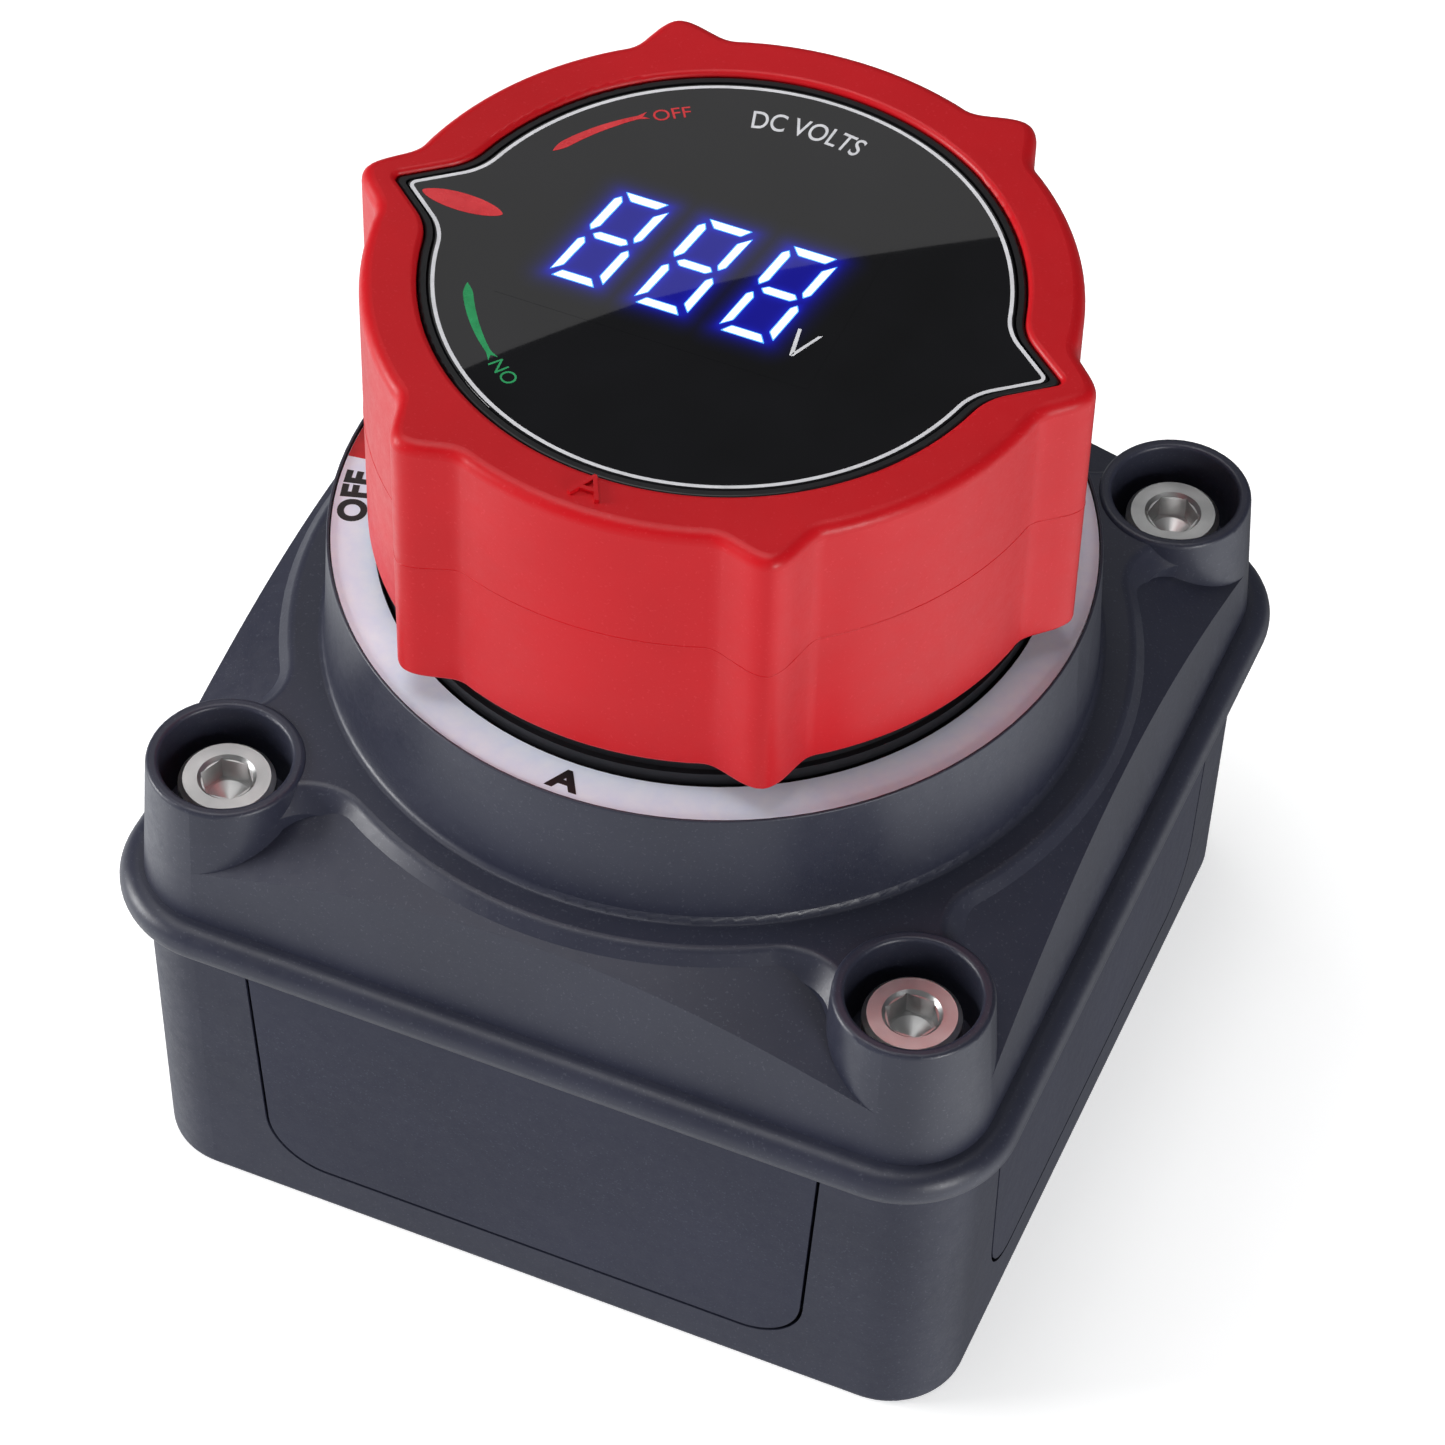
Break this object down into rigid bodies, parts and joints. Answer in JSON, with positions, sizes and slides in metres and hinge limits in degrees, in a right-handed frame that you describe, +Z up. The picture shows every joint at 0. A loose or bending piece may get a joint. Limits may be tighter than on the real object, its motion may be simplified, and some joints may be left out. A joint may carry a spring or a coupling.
{
  "type": "battery disconnect switch",
  "caption": "Square surface-mount battery switch with a raised round collar and a lobed lift-off rotary knob carrying a digital volt display.",
  "frame": {"origin": "centre of the square base's bottom face, the face that lies on the mounting surface", "axes": "+Z up out of the mounting surface along the knob's axis, -Y towards the front face, the knob's pointer along -X at OFF; the two studs stand on the X axis"},
  "size_m": [0.069, 0.069, 0.0751],
  "materials": {
    "housing": "satin, fine moulded texture",
    "grip_red": "soft satin, fine speckle",
    "core_black": "satin",
    "label": "fine satin print film",
    "bezel": "satin",
    "lens": "polished, printed on the back",
    "stainless": "turned stainless steel",
    "spring_steel": "bright spring steel",
    "copper": "tinned and bare copper",
    "brass": "machined brass",
    "insulator": "glass-filled moulding",
    "rubber": "soft seal",
    "pcb": "solder resist",
    "led": "lit blue digit filter",
    "adhesive": "foam tape"
  },
  "bodies": {
    "housing": {"base_frame": "housing", "side_plate_front": "housing", "side_plate_right": "housing", "side_plate_rear": "housing", "side_plate_left": "housing", "cover_gasket": "rubber", "top_cover": "housing", "label_ring": "label", "contact_block": "insulator", "block_screws": "stainless", "stud_battery": "copper", "stud_load": "copper", "stud_flat_washers": "stainless", "stud_lock_washers": "spring_steel", "stud_nuts": "stainless", "slip_ring_inner": "copper", "slip_ring_outer": "copper", "case_screws": "stainless", "case_nuts": "stainless", "mounting_inserts": "brass"},
    "rotor": {"drive_shaft": "insulator", "shaft_seal": "rubber", "wave_washer": "spring_steel", "rotor_carrier": "insulator", "contact_bridge": "copper", "bridge_contact_tips": "copper", "contact_spring": "spring_steel", "retaining_clip": "spring_steel"},
    "knob": {"knob_grip": "grip_red", "knob_core": "core_black", "core_screws": "stainless", "display_bezel": "bezel", "display_lens": "lens", "lens_adhesive": "adhesive", "voltmeter_board": "pcb", "board_screws": "stainless", "led_module": "led", "pin_barrels": "brass", "pin_spring_inner": "spring_steel", "pin_spring_outer": "spring_steel"},
    "pin_inner": {"contact_pin_inner": "brass"},
    "pin_outer": {"contact_pin_outer": "brass"}
  },
  "joints": [
    {"name": "knob_turn", "type": "hinge", "parent": "housing", "child": "rotor", "pos_m": [0, 0, 0.04], "axis": [0, 0, 1], "range_deg": [-90, 0]},
    {"name": "knob_lift", "type": "slide", "parent": "rotor", "child": "knob", "axis": [0, 0, 1], "range_m": [0, 0.012]},
    {"name": "inner_pin_travel", "type": "slide", "parent": "knob", "child": "pin_inner", "axis": [0, 0, 1], "range_m": [0, 0.0008], "stiffness_N_per_m": 150, "springref_m": -0.003, "deforming": ["pin_spring_inner"]},
    {"name": "outer_pin_travel", "type": "slide", "parent": "knob", "child": "pin_outer", "axis": [0, 0, 1], "range_m": [0, 0.0008], "stiffness_N_per_m": 150, "springref_m": -0.003, "deforming": ["pin_spring_outer"]}
  ]
}
